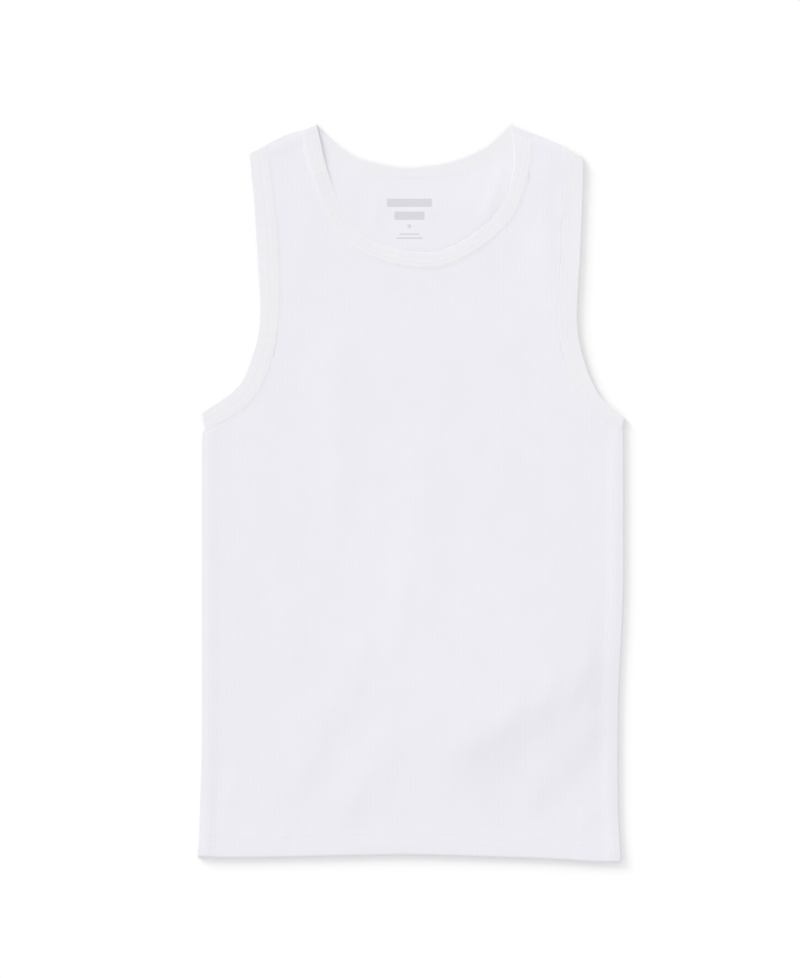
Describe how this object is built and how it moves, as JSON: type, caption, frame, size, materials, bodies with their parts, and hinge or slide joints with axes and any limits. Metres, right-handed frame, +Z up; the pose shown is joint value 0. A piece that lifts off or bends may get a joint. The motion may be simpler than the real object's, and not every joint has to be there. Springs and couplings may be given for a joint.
{
  "type": "tank top",
  "caption": "Sleeveless ribbed knit top laid flat, with a scoop neck and bound neckline and armholes.",
  "frame": {"origin": "middle of the garment's box, on the surface that it lies on", "axes": "+Y from the hem to the neck, +X to the right of the view with the front up, +Z up off the surface"},
  "size_m": [0.3708, 0.6392, 0.0061],
  "materials": {
    "rib_knit": "matt white cotton rib knit, upright ribs",
    "band_knit": "matt white cotton rib binding, twin needle topstitch"
  },
  "bodies": {
    "root": {"front_panel": "rib_knit", "back_panel": "rib_knit", "neckband": "band_knit", "armhole_band_left": "band_knit", "armhole_band_right": "band_knit"}
  },
  "joints": []
}
